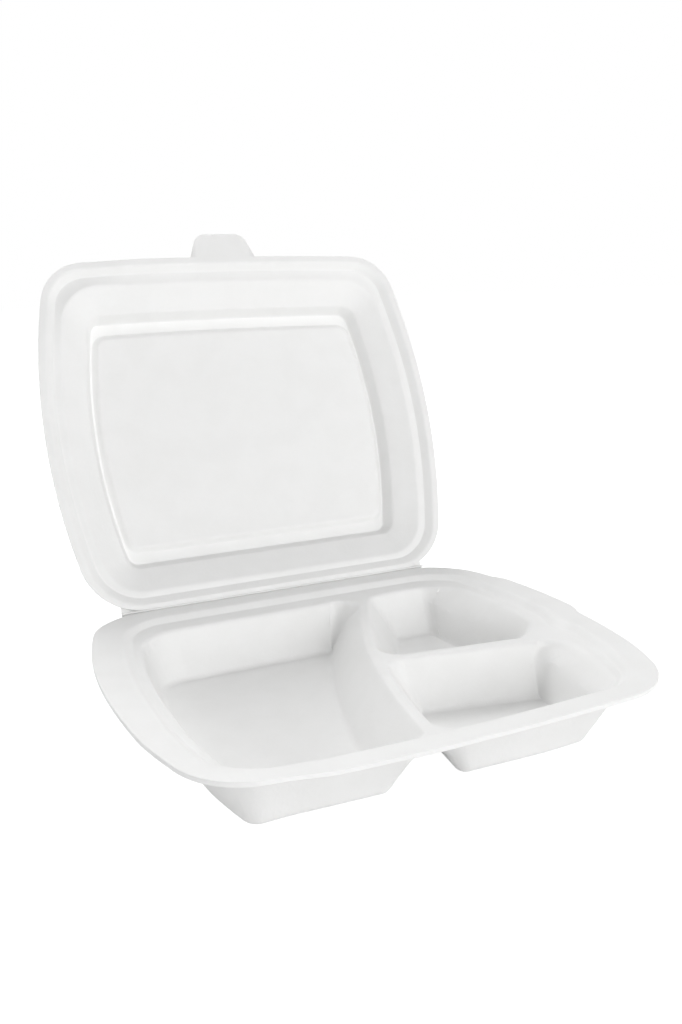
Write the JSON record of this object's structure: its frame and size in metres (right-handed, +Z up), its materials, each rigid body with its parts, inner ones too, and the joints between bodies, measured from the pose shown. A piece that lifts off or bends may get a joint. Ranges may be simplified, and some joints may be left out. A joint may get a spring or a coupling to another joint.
{
  "type": "hinged takeout container",
  "caption": "White foam takeout container with a large and two small compartments and a hinged lid that stands open.",
  "frame": {"origin": "centre of the overall box, on the plane that the tray stands on", "axes": "+X along the hinge to the right, +Y from the tray's front edge to the hinge, +Z up"},
  "size_m": [0.24, 0.2934, 0.2308],
  "materials": {
    "foam": "soft satin white foam"
  },
  "bodies": {
    "tray": {"tray": "foam"},
    "lid": {"lid": "foam"}
  },
  "joints": [
    {"name": "lid_hinge", "type": "hinge", "parent": "tray", "child": "lid", "pos_m": [0, 0.05928, 0.03135], "axis": [1, 0, 0], "range_deg": [-67, 113]}
  ]
}
